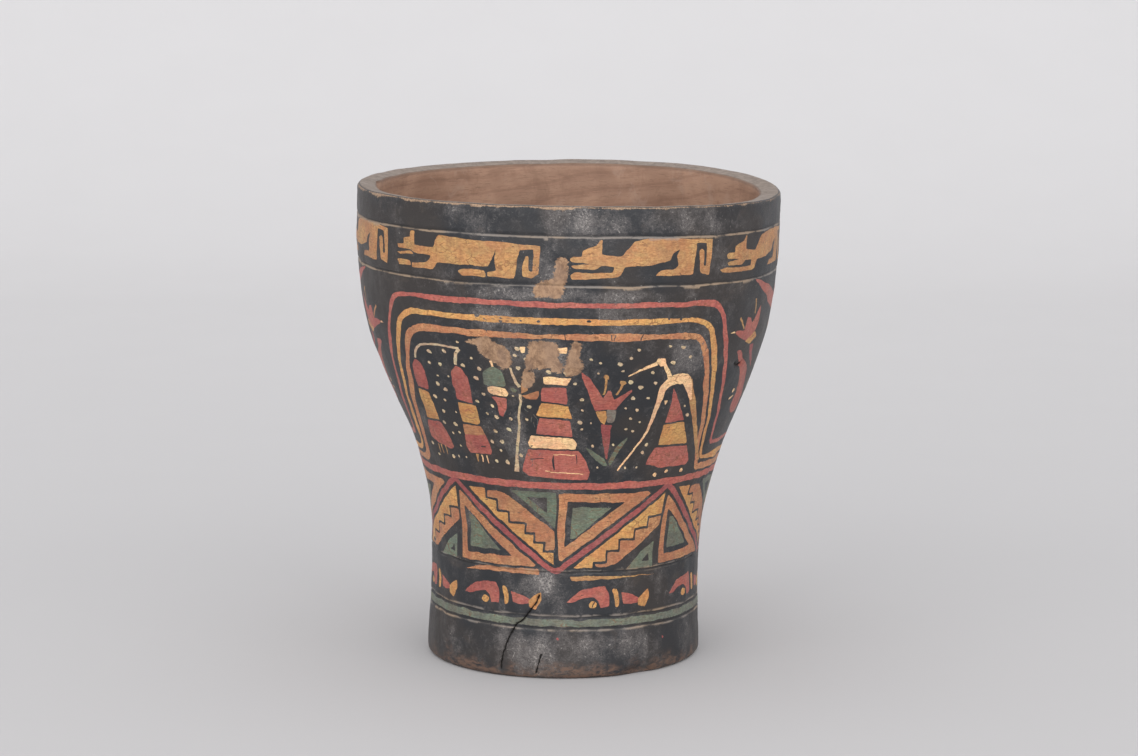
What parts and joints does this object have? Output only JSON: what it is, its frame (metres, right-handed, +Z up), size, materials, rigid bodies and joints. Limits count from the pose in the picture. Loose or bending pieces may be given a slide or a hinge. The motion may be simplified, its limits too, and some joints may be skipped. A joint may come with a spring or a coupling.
{
  "type": "kero cup",
  "caption": "Flared wooden drinking beaker with a straight foot, hollow and open at the top, with incised lines and coloured inlaid bands of animals, a scene and zigzags.",
  "frame": {"origin": "middle of the cup's box seen from above, on the flat underside of the foot", "axes": "+Z up through the mouth, -Y towards the side with the arch scene, +X to that side's right"},
  "size_m": [0.1644, 0.1696, 0.1861],
  "materials": {
    "inlaid_wood": "dark satin lacquer worn at the edges, with coloured resin inlay"
  },
  "bodies": {
    "root": {"kero_cup": "inlaid_wood"}
  },
  "joints": []
}
